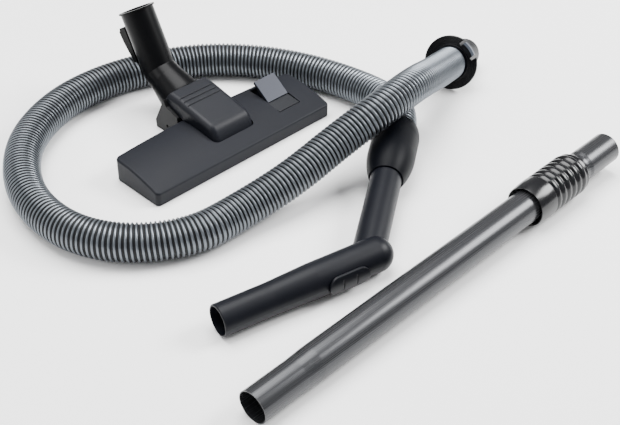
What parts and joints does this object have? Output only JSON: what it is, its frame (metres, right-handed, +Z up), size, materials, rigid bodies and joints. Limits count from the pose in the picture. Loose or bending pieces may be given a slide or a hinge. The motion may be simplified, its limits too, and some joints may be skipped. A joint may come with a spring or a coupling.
{
  "type": "vacuum cleaner hose and tool set",
  "caption": "Vacuum cleaner hose and tool set: ribbed hose with bent handle and machine connector, telescopic wand, and floor head with swivelling neck.",
  "frame": {"origin": "on the floor, at the middle of the set's box without the hose tube", "axes": "+X along the wand and the floor head, +Y from the wand towards the floor head, +Z up"},
  "size_m": [0.627, 0.5666, 0.1303],
  "materials": {
    "head_plastic": "fine matt grain",
    "base_plastic": "matt",
    "knuckle_plastic": "fine matt grain",
    "neck_plastic": "satin",
    "hook_plastic": "satin",
    "sole_metal": "brushed",
    "steel": "turned",
    "bristle": "nylon bristle",
    "lint_velour": "velour",
    "roller_rubber": "matt",
    "pedal_plastic": "matt",
    "pedal_pad_plastic": "satin",
    "hose_plastic": "satin",
    "cuff_plastic": "satin",
    "handle_plastic": "fine matt grain",
    "slider_plastic": "satin",
    "seal_rubber": "matt",
    "connector_plastic": "satin",
    "lip_plastic": "satin",
    "wand_metal": "satin metallic",
    "sleeve_plastic": "gloss",
    "lock_plastic": "acetal"
  },
  "bodies": {
    "floor_head": {"head_cover": "head_plastic", "head_base": "base_plastic", "sole_plate": "sole_metal", "lint_strips": "lint_velour", "head_screws": "steel", "pedal_pin": "steel", "pedal_leaf_spring": "steel", "tilt_pin_left": "base_plastic", "tilt_pin_right": "base_plastic"},
    "brushes": {"brush_carrier": "base_plastic", "front_bristles": "bristle", "rear_bristles": "bristle"},
    "pedal": {"pedal_rocker": "pedal_plastic", "pedal_pad": "pedal_pad_plastic"},
    "knuckle": {"knuckle_cap": "knuckle_plastic", "knuckle_housing": "base_plastic", "roller_axle_left": "steel", "roller_axle_right": "steel"},
    "left_roller": {"roller_left": "roller_rubber"},
    "right_roller": {"roller_right": "roller_rubber"},
    "neck": {"neck_elbow": "neck_plastic", "swivel_ring": "lock_plastic", "parking_hook": "hook_plastic"},
    "hose_set": {"hose_tube": "hose_plastic", "handle_side_cuff": "cuff_plastic", "machine_cuff": "cuff_plastic", "swivel_cuff": "cuff_plastic"},
    "handle": {"handle_tube": "handle_plastic", "swivel_snap_ring": "lock_plastic"},
    "air_shutter": {"air_slider": "slider_plastic", "slider_seal": "seal_rubber"},
    "connector": {"connector_body": "connector_plastic", "seal_ring": "seal_rubber"},
    "latch": {"connector_latch": "connector_plastic", "latch_lip": "lip_plastic"},
    "wand": {"wand_outer_tube": "wand_metal", "wand_guide_bush": "lock_plastic", "wand_lock_spring": "steel"},
    "wand_inner": {"wand_inner_tube": "wand_metal"},
    "lock_sleeve": {"wand_sleeve": "sleeve_plastic"},
    "lock_key": {"wand_lock_key": "lock_plastic"}
  },
  "joints": [
    {"name": "brush_drop", "type": "slide", "parent": "floor_head", "child": "brushes", "axis": [0, 0, 1], "range_m": [-0.005, 0]},
    {"name": "pedal_press", "type": "hinge", "parent": "floor_head", "child": "pedal", "pos_m": [0.0443, 0.0949, 0.02], "axis": [1, 0, 0], "range_deg": [-22, 0]},
    {"name": "knuckle_tilt", "type": "hinge", "parent": "floor_head", "child": "knuckle", "pos_m": [-0.0414, 0.1154, 0.012], "axis": [1, 0, 0], "range_deg": [-5, 12]},
    {"name": "left_roller_spin", "type": "hinge", "parent": "knuckle", "child": "left_roller", "pos_m": [-0.0616, 0.1594, 0.0105], "axis": [1, 0, 0], "continuous": true},
    {"name": "right_roller_spin", "type": "hinge", "parent": "knuckle", "child": "right_roller", "pos_m": [-0.0212, 0.1594, 0.0105], "axis": [1, 0, 0], "continuous": true},
    {"name": "neck_swivel", "type": "hinge", "parent": "knuckle", "child": "neck", "pos_m": [-0.0414, 0.1714, 0.03], "axis": [0, 0.891, 0.454], "range_deg": [-90, 90]},
    {"name": "hose_set_slide", "type": "slide", "parent": "floor_head", "child": "hose_set", "axis": [0, 1, 0], "range_m": [0, 0.06]},
    {"name": "handle_swivel", "type": "hinge", "parent": "hose_set", "child": "handle", "pos_m": [-0.0896, -0.1766, 0.0176], "axis": [0.8315, 0.5525, 0.0576], "range_deg": [0, 110]},
    {"name": "air_slide", "type": "slide", "parent": "handle", "child": "air_shutter", "axis": [0.977, -0.213, 0.007], "range_m": [0, 0.012]},
    {"name": "connector_swivel", "type": "hinge", "parent": "hose_set", "child": "connector", "pos_m": [0.25156, -0.00363, 0.03349], "axis": [0.9137, 0.3134, -0.2588], "continuous": true},
    {"name": "latch_flex", "type": "hinge", "parent": "connector", "child": "latch", "pos_m": [0.26116, -0.01758, 0.0505], "axis": [0.0718, -0.7511, -0.6563], "range_deg": [0, 5], "stiffness_Nm_per_rad": 0.02},
    {"name": "wand_slide", "type": "slide", "parent": "floor_head", "child": "wand", "axis": [0, -1, 0], "range_m": [0, 0.1]},
    {"name": "wand_extend", "type": "slide", "parent": "wand", "child": "wand_inner", "axis": [0.9998, 0.007, 0.0166], "range_m": [0, 0.3]},
    {"name": "sleeve_pull", "type": "slide", "parent": "wand", "child": "lock_sleeve", "axis": [0.9998, 0.007, 0.0166], "range_m": [-0.006, 0], "stiffness_N_per_m": 300},
    {"name": "key_lift", "type": "slide", "parent": "wand", "child": "lock_key", "axis": [-0.007, 1, 0], "range_m": [0, 0.001]}
  ],
  "couplings": [
    {"joint": "brush_drop", "follows": "pedal_press", "m_per_rad": 0.01302},
    {"joint": "key_lift", "follows": "sleeve_pull", "ratio": -0.16667}
  ]
}
